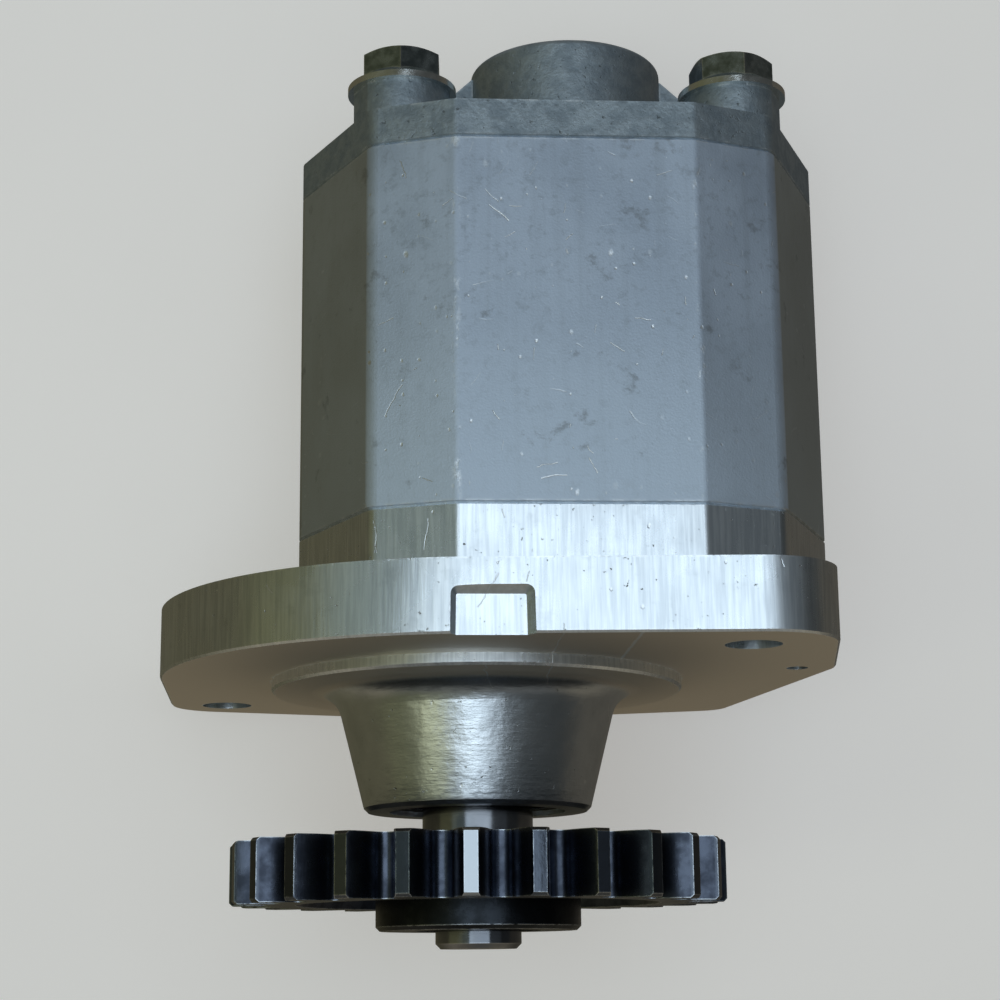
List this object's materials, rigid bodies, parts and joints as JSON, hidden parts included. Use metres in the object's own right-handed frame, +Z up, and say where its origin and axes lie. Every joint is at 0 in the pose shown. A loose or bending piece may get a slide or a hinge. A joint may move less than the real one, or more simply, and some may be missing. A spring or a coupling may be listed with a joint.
{
  "type": "hydraulic gear pump",
  "caption": "External gear pump: faceted body with two covers, rounded mounting flange, tapered nose and a spur drive gear on its shaft; threaded inlet boss behind.",
  "frame": {"origin": "where the drive shaft's axis meets the mounting face", "axes": "+Y along the shaft towards the rear cover, +X from the drive shaft towards the driven gear, +Z up as it lies, away from the outlet port"},
  "size_m": [0.1365, 0.1842, 0.1288],
  "materials": {
    "cast_alloy": "satin, worn",
    "flange_alloy": "machined rim, cast nose",
    "cover_alloy": "rough cast",
    "bolt_steel": "zinc plated",
    "ground_steel": "ground",
    "gear_steel": "blackened, worn tooth edges",
    "spring_steel": "oiled",
    "bush_bronze": "lined",
    "seal_rubber": "matt",
    "cage_steel": "pressed"
  },
  "bodies": {
    "housing": {"front_cover": "flange_alloy", "pump_body": "cast_alloy", "rear_cover": "cover_alloy", "body_bolts": "bolt_steel", "front_dowels": "ground_steel", "rear_dowels": "ground_steel", "front_body_seal": "seal_rubber", "rear_body_seal": "seal_rubber", "front_bearing_block": "cast_alloy", "rear_bearing_block": "cast_alloy", "front_balance_seal": "seal_rubber", "rear_balance_seal": "seal_rubber", "front_drive_bush": "bush_bronze", "front_driven_bush": "bush_bronze", "rear_drive_bush": "bush_bronze", "rear_driven_bush": "bush_bronze", "shaft_seal": "seal_rubber", "seal_spring": "spring_steel", "bearing_outer_race": "ground_steel", "bearing_clip": "spring_steel"},
    "drive_shaft_group": {"drive_shaft": "ground_steel", "bearing_inner_race": "ground_steel", "spacer_collar": "ground_steel", "drive_gear": "gear_steel", "gear_key": "spring_steel", "gear_clip": "spring_steel"},
    "driven_gear_group": {"driven_gear": "ground_steel"},
    "bearing_rolling_group": {"bearing_balls": "ground_steel", "bearing_cage": "cage_steel"}
  },
  "joints": [
    {"name": "drive_spin", "type": "hinge", "parent": "housing", "child": "drive_shaft_group", "pos_m": [0, 0, 0], "axis": [0, 1, 0], "continuous": true},
    {"name": "driven_spin", "type": "hinge", "parent": "housing", "child": "driven_gear_group", "pos_m": [0.036, 0, 0], "axis": [0, 1, 0], "continuous": true},
    {"name": "bearing_spin", "type": "hinge", "parent": "housing", "child": "bearing_rolling_group", "pos_m": [0, 0, 0], "axis": [0, 1, 0], "continuous": true}
  ],
  "couplings": [
    {"joint": "driven_spin", "follows": "drive_spin", "ratio": -1},
    {"joint": "bearing_spin", "follows": "drive_spin", "ratio": 0.408}
  ]
}
